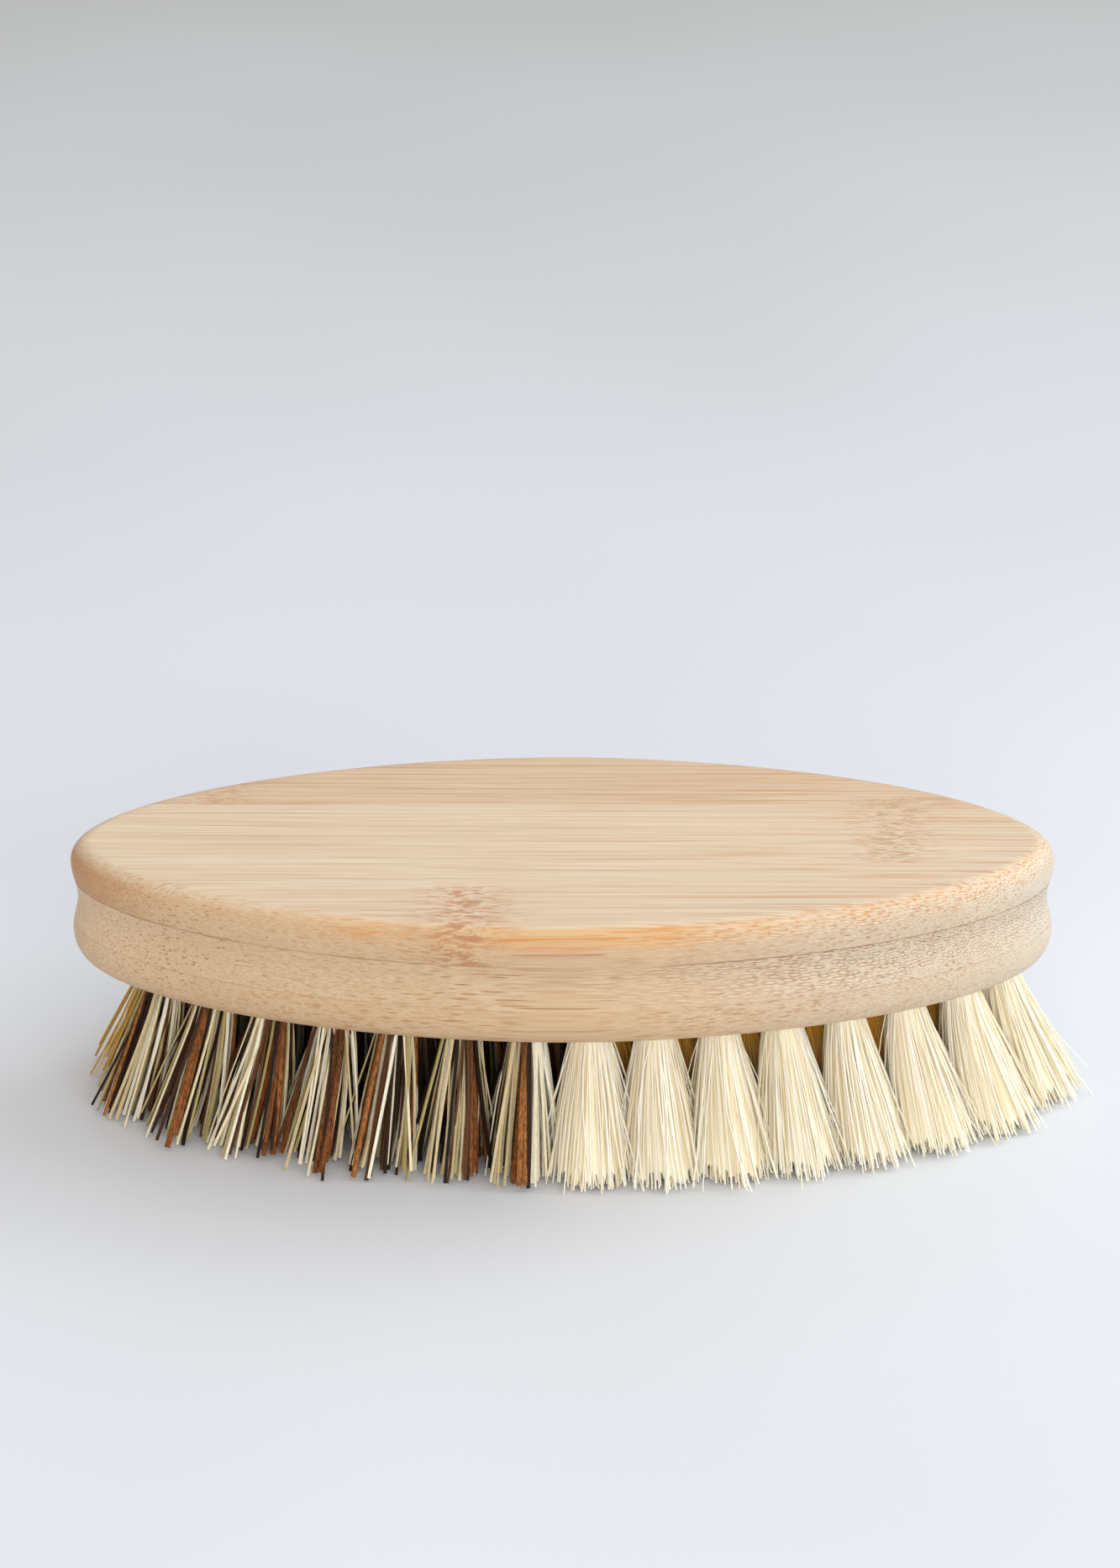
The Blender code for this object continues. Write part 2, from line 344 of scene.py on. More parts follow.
def srgb(red, green, blue):
    """A shader colour from the three 0 to 255 values of a paint chart."""
    linear = [(((part / 255) + 0.055) / 1.055) ** 2.4 for part in (red, green, blue)]
    return (*linear, 1.0)


def cells(across, up, randomness):
    """A field of cells in rows, each row half a cell on from the last: how far a point is
    beside and above the middle of its cell, and two chances for the cell."""
    place = joined(up * 0.5 + across, up, 0.0)
    inputs = {"Vector": place, "Scale": 1.0, "Randomness": randomness}
    field = add(place.tree, "ShaderNodeTexVoronoi", inputs, voronoi_dimensions="2D")
    middle = Value(field, "Position")
    offset = add(place.tree, "ShaderNodeVectorMath", {0: place, 1: middle}, operation="SUBTRACT")
    beside, above = parted("XYZ", Value(offset))[:2]
    chance, other_chance = parted("Color", Value(field, "Color"))[:2]
    return above * -0.5 + beside, above, chance, other_chance


def length(beside, above):
    offset = joined(beside, above, 0.0)
    return Value(add(offset.tree, "ShaderNodeVectorMath", {0: offset}, operation="LENGTH"), "Value")


def drawn_out(grain, fineness, moved=(0.0, 0.0, 0.0)):
    """A place for noise that is drawn out along the grain, and moved to another part of it."""
    x, y, z = grain
    along, across = fineness
    return joined(x * along + moved[0], y * across + moved[1], z * across + moved[2])


# The next ranges give the place or value where something starts to change and where it has
# changed, and its strength at each. Places on the bamboo are in millimetres, counted from the
# middle of the block along X and Y and from its top face along Z.
FLAT_TOP = (-0.5, -0.05)
TOP_EDGE = (-3.6, -1.4)
CUT_SIDE = (-0.05, -1.7)
RINGS_ALONG = (-20.0, 20.0, 0.4, 1.0)
TICKS_ALONG = (-56.0, -14.0, 0.4, 1.0)
MARKS_FROM_MIDDLE = (8.0, 42.0, 0.7, 1.1)
MARKS_TO_THE_RIGHT = (15.0, 45.0, 0.0, 0.6)
DARK_MARKS_ALONG = (-30.0, 15.0, 0.25, 1.0)
DARK_MARKS_UP = (0.25, 0.8)
LINES_NEAR_CAMERA = (-4.0, -12.0, 0.85, 1.3)
JOINT_COLOUR_NEAR_CAMERA = (-4.0, -12.0)
GOLD_ALONG = (38.0, 14.0, 0.1, 1.0)
GLUE_BREAK = (6.0, 16.0, 0.15, 1.0)
LEFT_TO_MIDDLE = (-66.0, -50.0)
MIDDLE_TO_RIGHT = (4.0, 48.0)
RIGHT_TO_END = (56.0, 68.0)

PATCHES = (0.32, 0.66, 0.65, 1.0)
HAIR_STREAKS = (0.58, 0.34, 0.0, 0.55)
STREAKS = (0.52, 0.66)
GOLD_CLUMPS = (0.36, 0.52, 0.4, 1.0)
ORANGE_LINES = (0.51, 0.60)
JOINT_MOTTLE = (0.46, 0.60)
GLUE_PATCHES = (0.65, 0.95, 0.4, 1.0)
GLUE_WIDTH = (0.20, 0.05)
WOOD_ROUGHNESS = (0.3, 0.7, 0.56, 0.44)

# How fine each noise is along and across the grain: its clouds to a millimetre.
WANDER_GRAIN = (0.011, 0.05)
JOINT_GRAIN = (0.24, 0.5)
PATCH_GRAIN = (0.03, 0.30)
CLUMP_GRAIN = (0.075, 0.3)
BAND_GRAIN = (0.009, 0.8)
HAIR_GRAIN = (0.03, 5.6)
STREAK_GRAIN = (0.014, 2.6)
LINE_GRAIN = (0.02, 2.3)
ORANGE_GRAIN = (0.035, 1.9)
MOTTLE_GRAIN = (0.38, 2.0)

RING_EDGE = (0.11, 0.03)
RING_SIDES = (0.20, 0.75, 0.20, 1.0)
RING_MIDDLE = (0.26, 0.10)
TICK_EDGE = (0.40, 0.20)
LINE_EDGE = (0.38, 0.20)

BUNDLES_ACROSS = 1.7
BUNDLES_UP = 1.35
BUNDLE_SCATTER = 0.45
SMALLEST_RING = 0.28
RING_GROWTH = 0.10
TICKS_ACROSS = 3.2
TICKS_UP = 2.5
TICK_SCATTER = 0.6
TICK_FLATNESS = 2.8
STRIP_SHIFT = 23.7
JOINT_BORDER = 1.5
GRAIN_WANDER = 1.6
JOINT_WANDER = 1.9
GOLD_MIDDLE = -3.0
GLUE_BREAK_MIDDLE = 5.0
WARMTH_STEP = 0.8
FIRST_WARMTH = 0.85
WEAKER_ON_TOP = 0.35
FEWER_IN_UPPER = 0.6
TOP_EDGE_MARKS = 1.25
WOOD_GLOSS = 0.3
WOOD_RELIEF = 0.00005

PALE_WOOD = srgb(228, 210, 184)
TAN_WOOD = srgb(218, 195, 165)
WARM_WOOD = srgb(202, 166, 128)
ORANGE_WOOD = srgb(212, 152, 92)
GOLDEN_WOOD = srgb(221, 182, 132)
JOINT_WOOD = srgb(184, 126, 84)
# Painted light, multiplied into the cut side: painted shade at the -X end and along the side, a painted
# cool sheen on the right and a painted highlight at the +X end.
UPPER_LEFT_PAINTED_SHADE = (0.76, 0.56, 0.40, 1.0)
LOWER_LEFT_PAINTED_SHADE = (0.98, 0.93, 0.87, 1.0)
SIDE_PAINTED_SHADE = (0.87, 0.79, 0.70, 1.0)
RIGHT_PAINTED_SHEEN = (0.87, 0.91, 0.96, 1.0)
END_PAINTED_HIGHLIGHT = (0.85, 0.95, 1.06, 1.0)
GLUE = srgb(150, 112, 88)


def wide_bundles(across, up):
    """Bundles cut across: the thin brown sheath of each, thickest above and below, and its pale core."""
    beside, above, chance, other_chance = cells(across, up, BUNDLE_SCATTER)
    distance = length(beside, above)
    ring = fade(abs(distance - (chance * RING_GROWTH + SMALLEST_RING)), *RING_EDGE)
    cap = fade(abs(above) / distance, *RING_SIDES)
    return ring * cap * (other_chance * 0.45 + 0.55), fade(distance, *RING_MIDDLE)


def fine_bundles(across, up):
    """The finer bundles further down in a stem, as flat brown ticks."""
    beside, above, chance = cells(across, up, TICK_SCATTER)[:3]
    return fade(length(beside, above * TICK_FLATNESS), *TICK_EDGE) * (chance * 0.6 + 0.4)


def bamboo(
    name, bottom, top, seed, joints, seam, strip_width, warm_share,
    wide_colour, wide_strength, wide_from, fine_colour, fine_strength, left_painted_shade, glue_lines,
):
    """Pressed bamboo: fibre bundles run along X in every strip, wide and well apart near the
    upper face of a ply, fine and dense near its lower one, and waver where the stem had a joint."""
    made, shader = new_finish(name)
    x, y, z = object_place(made.node_tree, MM)
    x = x - MIDDLE_X / MM
    height = (z - bottom / MM) / ((top - bottom) / MM)
    from_top = z - TOP_FACE / MM

    # Strips lie side by side in the ply, each from another stem.
    strip = ((y - seam) / strip_width).calc("FLOOR")
    warmth = (strip * WARMTH_STEP + FIRST_WARMTH).calc("FRACT") * warm_share
    shift = strip * STRIP_SHIFT

    # The grain wanders a little along the whole length, and a lot at a joint.
    drift = cloudy(drawn_out((x, y, z), WANDER_GRAIN, (shift, seed, 0.0)), 1.0) - 0.5
    rise = cloudy(drawn_out((x, y, z), WANDER_GRAIN, (shift + 5.2, seed + 9.1, 3.3)), 1.0) - 0.5
    near_joint = 0.0
    for joint_x, low_y, high_y, reach in joints:
        along = (x - joint_x) / reach
        bell = (along * along * -1.0).calc("EXPONENT")
        above_low = fade(y, low_y - JOINT_BORDER, low_y + JOINT_BORDER)
        below_high = fade(y, high_y + JOINT_BORDER, high_y - JOINT_BORDER)
        near_joint = larger(bell * (above_low * below_high), near_joint)
    swirl = (cloudy(drawn_out((x, y, z), JOINT_GRAIN, (0.0, shift, seed))) - 0.5) * near_joint
    grain_y = y + (drift * GRAIN_WANDER + swirl * JOINT_WANDER)
    grain_z = z + (rise * GRAIN_WANDER + swirl * JOINT_WANDER)
    grain = (x, grain_y, grain_z)

    # Rings show most towards +X and near the upper face, ticks lower down, both in patches.
    patches = fade(cloudy(drawn_out(grain, PATCH_GRAIN, (shift, 0.0, seed))), *PATCHES)
    upper = fade(height, wide_from - 0.12, wide_from + 0.15)
    flat_top = fade(from_top, *FLAT_TOP)
    top_edge = fade(from_top, *TOP_EDGE) * fade(flat_top, 1.0, 0.0)
    shown = (upper * 0.7 + 0.3) * fade(x, *RINGS_ALONG)
    rings, cores = wide_bundles(grain_y * BUNDLES_ACROSS + (shift + seed), grain_z * BUNDLES_UP)
    ticks = fine_bundles(grain_y * TICKS_ACROSS + shift, grain_z * TICKS_UP + seed)
    wide = rings * shown * (flat_top * -WEAKER_ON_TOP + wide_strength)
    fine = ticks * (upper * (-FEWER_IN_UPPER * fine_strength) + fine_strength) * fade(x, *TICKS_ALONG)
    brown = larger(wide, fine) * patches

    # Cut lengthwise, along the middle of the side, the bundles show less than cut across.
    cut_across = fade(abs(x), *MARKS_FROM_MIDDLE) + fade(x, *MARKS_TO_THE_RIGHT)
    brown = brown * larger(cut_across, top_edge * TOP_EDGE_MARKS)

    # The ground between them: soft bands, hair-fine streaks and a few thin brown lines.
    bands = cloudy(drawn_out(grain, BAND_GRAIN, (shift, 0.0, seed)))
    hair = cloudy(drawn_out(grain, HAIR_GRAIN, (shift, 0.0, 0.0)), 3.0, 0.62)
    streaks = cloudy(drawn_out(grain, STREAK_GRAIN, (shift, seed, 0.0)), 3.0, 0.7)
    single = add(made.node_tree, "ShaderNodeTexVoronoi", {
        "Vector": drawn_out(grain, LINE_GRAIN, (shift + 4.4, 0.0, 0.0)), "Scale": 1.0, "Randomness": 1.0,
    })
    line_chance = parted("Color", Value(single, "Color"))[0].calc("POWER", 1.6)
    lines = fade(Value(single, "Distance"), *LINE_EDGE) * line_chance * fade(y, *LINES_NEAR_CAMERA)
    wood = blended(fade(bands, 0.0, 1.0), TAN_WOOD, PALE_WOOD)
    wood = blended(warmth * 0.6, wood, WARM_WOOD)
    wood = blended(fade(hair, *HAIR_STREAKS), wood, WARM_WOOD)
    wood = blended(fade(streaks, *STREAKS) * (warmth * 0.8 + 0.3), wood, fine_colour)
    wood = blended(lines, wood, fine_colour)
    wood = blended(cores * (shown * 0.7), wood, PALE_WOOD)

    # The near and far edges of the top ply are golden, with orange bundles, midway along.
    clumps = cloudy(joined(x * CLUMP_GRAIN[0], grain_y * CLUMP_GRAIN[1], seed), 1.0)
    gold = top_edge * fade(abs(x - GOLD_MIDDLE), *GOLD_ALONG) * fade(clumps, *GOLD_CLUMPS)
    wood = blended(gold * 0.85, wood, GOLDEN_WOOD)
    orange_lines = cloudy(drawn_out(grain, ORANGE_GRAIN, (seed, 0.0, 0.0)))
    wood = blended(fade(orange_lines, *ORANGE_LINES) * (gold * 0.75), wood, ORANGE_WOOD)
    darker = fade(height, *DARK_MARKS_UP) * fade(x, *DARK_MARKS_ALONG)
    bundle = blended(gold, blended(darker, fine_colour, wide_colour), ORANGE_WOOD)
    wood = blended(brown, wood, bundle)
    mottle = fade(cloudy(drawn_out(grain, MOTTLE_GRAIN), 3.0, 0.6), *JOINT_MOTTLE)
    joint_colour = blended(fade(y, *JOINT_COLOUR_NEAR_CAMERA), fine_colour, JOINT_WOOD)
    wood = blended(mottle * near_joint * 0.8, wood, joint_colour)

    # Painted light on the cut side: a painted shade darkens it against the top, deepest and warmest at the
    # -X end, and a painted cool sheen whitens it towards +X, with a painted highlight at the +X end.
    painted_light_tint = blended(fade(x, *LEFT_TO_MIDDLE), left_painted_shade, SIDE_PAINTED_SHADE)
    painted_light_tint = blended(fade(x, *MIDDLE_TO_RIGHT), painted_light_tint, RIGHT_PAINTED_SHEEN)
    painted_light_tint = blended(fade(x, *RIGHT_TO_END), painted_light_tint, END_PAINTED_HIGHLIGHT)
    painted_light_side = add(made.node_tree, "ShaderNodeVectorMath", {0: wood, 1: painted_light_tint}, operation="MULTIPLY")
    wood = blended(fade(from_top, *CUT_SIDE), wood, Value(painted_light_side))

    # Glue shows as a thin, broken brown line at each face that is joined.
    for edge, strength in glue_lines:
        broken = fade(patches, *GLUE_PATCHES) * fade(abs(x - GLUE_BREAK_MIDDLE), *GLUE_BREAK)
        wood = blended(fade(abs(z - edge / MM), *GLUE_WIDTH) * broken * strength, wood, GLUE)

    feed(shader, {
        "Base Color": wood,
        "Roughness": fade(hair, *WOOD_ROUGHNESS),
        "Normal": bumps(brown * -0.6 + hair, 0.3, WOOD_RELIEF),
        "Specular IOR Level": WOOD_GLOSS,
    })
    return made


# A joint of the stem is given by its X, the Y it runs from and to, and its reach along X.
top_bamboo = bamboo(
    "top_ply_bamboo", UPPER_GLUE_LINE, TOP_FACE, seed=3.1,
    joints=((-13.0, -26.0, -13.0, 5.5), (45.5, -6.0, 12.0, 5.0), (-48.0, 10.0, 20.0, 5.0)),
    seam=10.0, strip_width=24.0, warm_share=1.0,
    wide_colour=srgb(206, 148, 94), wide_strength=0.85, wide_from=0.52,
    fine_colour=srgb(190, 150, 114), fine_strength=0.62,
    left_painted_shade=UPPER_LEFT_PAINTED_SHADE, glue_lines=((UPPER_GLUE_LINE, 0.5),),
)
middle_bamboo = bamboo(
    "middle_ply_bamboo", LOWER_GLUE_LINE, UPPER_GLUE_LINE, seed=8.6,
    joints=((22.0, 14.0, 30.0, 5.0), (-50.0, -6.0, 14.0, 5.0)),
    seam=14.0, strip_width=20.0, warm_share=0.35,
    wide_colour=srgb(158, 116, 90), wide_strength=1.0, wide_from=0.14,
    fine_colour=srgb(184, 144, 110), fine_strength=0.62,
    left_painted_shade=LOWER_LEFT_PAINTED_SHADE, glue_lines=((LOWER_GLUE_LINE, 0.15), (UPPER_GLUE_LINE, 0.95)),
)
bottom_bamboo = bamboo(
    "bottom_ply_bamboo", UNDERSIDE, LOWER_GLUE_LINE, seed=14.3,
    joints=((-30.0, 6.0, 28.0, 5.0), (36.0, -16.0, 6.0, 5.0)),
    seam=28.0, strip_width=22.0, warm_share=1.0,
    wide_colour=srgb(188, 148, 110), wide_strength=0.40, wide_from=1.30,
    fine_colour=srgb(190, 150, 110), fine_strength=0.66,
    left_painted_shade=LOWER_LEFT_PAINTED_SHADE, glue_lines=((LOWER_GLUE_LINE, 0.285),),
)
cutter = drilled_holes()
for name, node, bottom, top, finish in (
    ("routed_bottom_ply", "bottom_ply", UNDERSIDE, LOWER_GLUE_LINE, bottom_bamboo),
    ("routed_middle_ply", "middle_ply", LOWER_GLUE_LINE, UPPER_GLUE_LINE, middle_bamboo),
    ("routed_top_ply", "top_ply", UPPER_GLUE_LINE, TOP_FACE, top_bamboo),
):
    piece = routed_ply(name, bottom, top, finish)
    if node != "top_ply":
        cut(piece, cutter)
    piece.data.shade_smooth()
    piece.data.set_sharp_from_angle(angle=SHARP_EDGE)
    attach(piece, "root")
    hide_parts(node)
bpy.data.objects.remove(cutter, do_unlink=True)


# The cream tufts. Each real one is a bundle of soft plant fibres folded over a flat wire and
# driven into its hole, so that it leaves the wood as a tight round bundle and fans out to the
# floor, where the whole brush is trimmed. They fill the +X half of the block.
FIBRE_PAINT = "fibre_colour"
FIBRE_RINGS = 5
IN_HOLE = 0.0030
MOUTH_REACH = 0.00248
HOLE_REACH = 0.0021
FAN_POWER = 1.15
GOLDEN_TURN = math.pi * (3 - math.sqrt(5))
WIDEST_STRAY = 0.0036
TRIM_SLACK = 0.0006
MOST_SLACK = 0.0014
SLACK_SHARE = 0.35
UNEVEN_ENDS = 0.0007
SHORTEST_END = 0.0024
OUTWARD_BOW = 0.0003
MOTTLE_ACROSS = 4.2
MOTTLE_ALONG = 0.42
FIBRE_RELIEF = 0.00004

CREAM_TONES = (
    srgb(245, 240, 226), srgb(245, 238, 220), srgb(243, 234, 213), srgb(240, 230, 203),
    srgb(236, 222, 188),
)
# Painted shade: a deep golden laid on the fibre roots and on the packed middle of the inner tufts. It
# stands for the shaded fibres seen between the tufts.
GOLDEN_SHADE_TONES = (srgb(236, 172, 22), srgb(220, 152, 10), srgb(240, 184, 44))
CREAM_FIBRES = 540
CREAM_RADIUS = 0.00012
CREAM_SIZES = (0.75, 1.2)
CREAM_SPREAD = 1.30
CREAM_JITTER = 0.1
CREAM_FLATNESS = 0.75
CREAM_TWIST = 0.25
CREAM_STRAY = (0.0030, 0.0005)
CREAM_STRAIGHT = (0.0007, 0.0002)
STRAY_SHARE = 0.09
INNER_ROOT_SHADE = (1.0, 3)
OUTER_ROOT_SHADE = (0.06, 2)
SMOOTH_SPECKLE = 0.2

CORE_SIDES = 132
CORE_LENGTH = 0.96
CORE_REACH = 0.98
CORE_SPREAD = 1.28
CORE_DEPTHS = (0.95, 1.0)
CORE_ENDS = (0.90, 1.0)
CORE_TONES = (srgb(246, 236, 208), srgb(242, 229, 196), srgb(236, 219, 178))


def straight_fibre(sides):
    """A thin straight tube one unit long, ring by ring, that every fibre starts from."""
    bm = bmesh.new()
    bmesh.ops.create_circle(bm, cap_ends=False, segments=sides, radius=1.0)
    edges = list(bm.edges)
    for ring in range(FIBRE_RINGS):
        made = bmesh.ops.extrude_edge_only(bm, edges=edges)["geom"]
        edges = [item for item in made if isinstance(item, bmesh.types.BMEdge)]
        bmesh.ops.translate(
            bm,
            vec=(0, 0, 1 / FIBRE_RINGS),
            verts=[item for item in made if isinstance(item, bmesh.types.BMVert)],
        )
    bmesh.ops.holes_fill(bm, edges=[edge for edge in bm.edges if edge.is_boundary], sides=sides)
    bmesh.ops.recalc_face_normals(bm, faces=bm.faces)
    mesh = bpy.data.meshes.new(f"straight_fibre_{sides}")
    bm.to_mesh(mesh)
    bm.free()
    return mesh


def empty_bundle():
    bm = bmesh.new()
    bm.verts.layers.float_color.new(FIBRE_PAINT)
    return bm


def lay_fibre(bm, template, points, outwards, radius, tones, flatness, twist, speckle):
    """Bends one straight fibre along a line of points, its flat side outwards, and colours it."""
    paint = bm.verts.layers.float_color[FIBRE_PAINT]
    before = len(bm.verts)
    bm.from_mesh(template)
    bm.verts.ensure_lookup_table()
    facing = Matrix.Rotation(math.pi / 4 + twist, 3, "Z")
    for vert in bm.verts[before:]:
        ring = min(round(vert.co.z * FIBRE_RINGS), FIBRE_RINGS)
        ahead = (points[min(ring + 1, FIBRE_RINGS)] - points[max(ring - 1, 0)]).normalized()
        beside = ahead.cross(outwards).normalized()
        above = beside.cross(ahead)
        across = facing @ Vector((vert.co.x, vert.co.y, 0))
        vert.co = points[ring] + (beside * across.x + above * across.y * flatness) * radius
        vert[paint] = (*tones[ring], speckle)


def trimmed(value, low, high):
    """Keeps a fibre's end within the brush's own width, but for a millimetre or so."""
    kept = min(max(value, low - TRIM_SLACK), high + TRIM_SLACK)
    slack = min(SLACK_SHARE * abs(value - kept), MOST_SLACK - TRIM_SLACK)
    return kept + math.copysign(slack, value - kept)


def fibre_line(rng, seat, rho, out, radius, spread, wander, bend):
    """The line of one fibre, from inside its hole to the floor."""
    mouth, foot, reach = seat
    lean = (foot - mouth).normalized()
    side = Vector((-out.y, out.x, 0))
    start = mouth + out * rho * MOUTH_REACH
    astray = Vector((rng.gauss(0, wander), rng.gauss(0, wander), 0))
    if astray.length > WIDEST_STRAY:
        astray *= WIDEST_STRAY / astray.length
    end = foot + out * rho * reach * spread + astray
    end.y = trimmed(end.y, cad_box[0][1], cad_box[1][1])
    end.z = 0.5 * radius + min(abs(rng.gauss(0, UNEVEN_ENDS)), SHORTEST_END)
    bow = out * rng.gauss(OUTWARD_BOW, bend) + side * rng.gauss(0, bend)
    line = [mouth + out * rho * HOLE_REACH - lean * IN_HOLE, start]
    for step in range(1, FIBRE_RINGS):
        share = step / (FIBRE_RINGS - 1)
        point = start.lerp(end, share ** FAN_POWER) + bow * math.sin(math.pi * share)
        point.z = start.z + (end.z - start.z) * share
        line.append(point)
    return line


def fibre_finish(name, roughness, darkening, gloss):
    """Plant fibre: its own colour along each strand, fine lengthwise mottling, a dull sheen."""
    made, shader = new_finish(name)
    paint = add(made.node_tree, "ShaderNodeAttribute", attribute_name=FIBRE_PAINT)
    own = Value(paint, "Color")
    x, y, z = object_place(made.node_tree, MM)
    mottle = cloudy(joined(x * MOTTLE_ACROSS, y * MOTTLE_ACROSS, z * MOTTLE_ALONG), 4.0, 0.7)
    brightness = Value(paint, "Alpha") * -darkening + 1.0
    dark = add(made.node_tree, "ShaderNodeVectorMath", {0: own, "Scale": brightness}, operation="SCALE")
    feed(shader, {
        "Base Color": blended(fade(mottle, 0.30, 0.64), Value(dark), own),
        "Roughness": fade(mottle, 0.3, 0.7, roughness + 0.1, roughness - 0.1),
        "Normal": bumps(mottle, 0.4, FIBRE_RELIEF),
        "Specular IOR Level": gloss,
    })
    return made


def lay_core(bm, template, rng, seat, tones):
    """The fibres packed in the middle of a tuft, as one fluted body that widens to the floor."""
    end_tone = Vector(CORE_TONES[0][:3])
    paint = bm.verts.layers.float_color[FIBRE_PAINT]
    mouth, foot, reach = seat
    flutes = [
        (rng.uniform(*CORE_DEPTHS), rng.uniform(*CORE_ENDS), rng.choice(tones)[:3])
        for side in range(CORE_SIDES)
    ]
    before = len(bm.verts)
    bm.from_mesh(template)
    bm.verts.ensure_lookup_table()
    for vert in bm.verts[before:]:
        out = Vector((vert.co.x, vert.co.y, 0)).normalized()
        side = round(math.atan2(out.y, out.x) / math.tau * CORE_SIDES) % CORE_SIDES
        depth, reach_down, tone = flutes[side]
        share = vert.co.z * CORE_LENGTH * reach_down
        opened = share ** FAN_POWER
        width = CORE_REACH * depth * (MOUTH_REACH * (1 - opened) + reach * CORE_SPREAD * opened)
        middle = mouth.lerp(foot, opened)
        vert.co = Vector((middle.x, middle.y, mouth.z * (1 - share))) + out * width
        vert[paint] = (*Vector(tone).lerp(end_tone, share ** 3), SMOOTH_SPECKLE)


fine_fibre = straight_fibre(sides=4)
packed_fibres = straight_fibre(sides=CORE_SIDES)
cream_finish = fibre_finish("soft_cream_fibre_looks", roughness=0.5, darkening=0.05, gloss=0.15)


def cream_tuft(node, seat):
    """Fine cream fibres round a packed middle. The inner tufts carry a painted golden shade on their roots
    and packed middle, and the outer ones a trace of it at their roots.
    """
    name = f"{node}_fibres"
    rng = random.Random(name)
    inner = not node.startswith("outer")
    root_shade_share, fading = INNER_ROOT_SHADE if inner else OUTER_ROOT_SHADE
    bm = empty_bundle()
    for number in range(CREAM_FIBRES):
        rho = math.sqrt((number + 0.5) / CREAM_FIBRES)
        turn = number * GOLDEN_TURN + rng.gauss(0, CREAM_JITTER)
        out = Vector((math.cos(turn), math.sin(turn), 0))
        radius = CREAM_RADIUS * rng.uniform(*CREAM_SIZES)
        wander, bend = CREAM_STRAY if rng.random() < STRAY_SHARE else CREAM_STRAIGHT
        line = fibre_line(rng, seat, rho, out, radius, CREAM_SPREAD, wander, bend)
        tone = Vector(rng.choice(CREAM_TONES)[:3])
        # Painted shade: the root of each fibre turns golden.
        root = tone.lerp(Vector(rng.choice(GOLDEN_SHADE_TONES)[:3]), root_shade_share)
        tones = [root.lerp(tone, (ring / FIBRE_RINGS) ** fading) for ring in range(FIBRE_RINGS + 1)]
        twist = rng.gauss(0, CREAM_TWIST)
        lay_fibre(bm, fine_fibre, line, out, radius, tones, CREAM_FLATNESS, twist, SMOOTH_SPECKLE)
    lay_core(bm, packed_fibres, rng, seat, GOLDEN_SHADE_TONES if inner else CORE_TONES)
    return finished(bm, name, cream_finish)


# The mixed tufts. The -X half is a stiffer mix of plant fibres, folded over wires and driven
# into its holes in the same way: pale split fibres, thick rough brown ones and some almost
# black. The tuft at the -X end is of thin straw-coloured fibre only.
PALE_TONES = (
    srgb(238, 226, 195), srgb(228, 211, 173), srgb(215, 195, 150), srgb(200, 178, 130),
    srgb(180, 162, 106), srgb(244, 235, 211),
)
BROWN_TONES = (srgb(156, 94, 48), srgb(174, 110, 58), srgb(134, 80, 42), srgb(190, 128, 70))
DARK_TONES = (srgb(48, 30, 20), srgb(64, 40, 25), srgb(92, 58, 34), srgb(36, 24, 17))
STRAW_TONES = (srgb(214, 176, 92), srgb(226, 194, 120), srgb(198, 156, 70))
STRAW_TUFT = "outer_tuft_15"
STRAW_RADIUS = 0.00016
LAST_MIXED_TUFT = "outer_tuft_22"
CREAM_SIDE = 0.45
MIXED_FIBRES = (("pale", 54, 0.00025), ("brown", 4, 0.00046), ("dark", 20, 0.00030))
SWEEP_FIBRES = (("brown", 0.00048), ("dark", 0.00032))
SWEEP_BROWN_SHARE = 0.7
BROWN_TURNS = {
    "outer_tuft_16": 3.6, "outer_tuft_17": 4.2, "outer_tuft_18": 5.3, "outer_tuft_19": 5.0,
    "outer_tuft_20": 3.7, "outer_tuft_21": 5.6, "outer_tuft_22": 4.6,
}
BROWN_SWEEP = 0.25
MIXED_SIZES = (0.7, 1.15)
MIXED_SPREAD = 1.20
MIXED_JITTER = 0.15
MIXED_WANDER = 0.0012
MIXED_BEND = 0.0001
MIXED_FLATNESS = (0.6, 0.9)
MIXED_TWIST = 0.4
PALE_SPECKLE = 0.25
INNER_SHADE = 0.25
INNER_END_SHADE = 0.8
DARK_ROOT_SHARE = 0.4
BROWN_ROOT_SHADE = 0.6
ROOT_RINGS = 3

thick_fibre = straight_fibre(sides=6)
stiff_finish = fibre_finish("stiff_mixed_fibre_looks", roughness=0.6, darkening=0.80, gloss=0.12)


def mixed_tones(rng, kind, inner):
    """The colour of a fibre at each of its rings, and how much its mottling shows."""
    if kind == "pale":
        tone = Vector(rng.choice(PALE_TONES)[:3])
        # Painted shade: the pale fibres of the inner tufts are darkened, all but their ends.
        shades = [INNER_SHADE] * FIBRE_RINGS + [INNER_END_SHADE] if inner else [1.0] * (FIBRE_RINGS + 1)
        return [tone * shade for shade in shades], PALE_SPECKLE
    if kind == "brown":
        tone = Vector(rng.choice(BROWN_TONES)[:3])
        dark_root = rng.random() < DARK_ROOT_SHARE
        root = Vector(rng.choice(DARK_TONES)[:3]) if dark_root else tone * BROWN_ROOT_SHADE
        return [root.lerp(tone, min(1.0, ring / ROOT_RINGS)) for ring in range(FIBRE_RINGS + 1)], 1.0
    choice = {"straw": STRAW_TONES, "cream": CREAM_TONES, "dark": DARK_TONES}[kind]
    return [rng.choice(choice)[:3]] * (FIBRE_RINGS + 1), PALE_SPECKLE


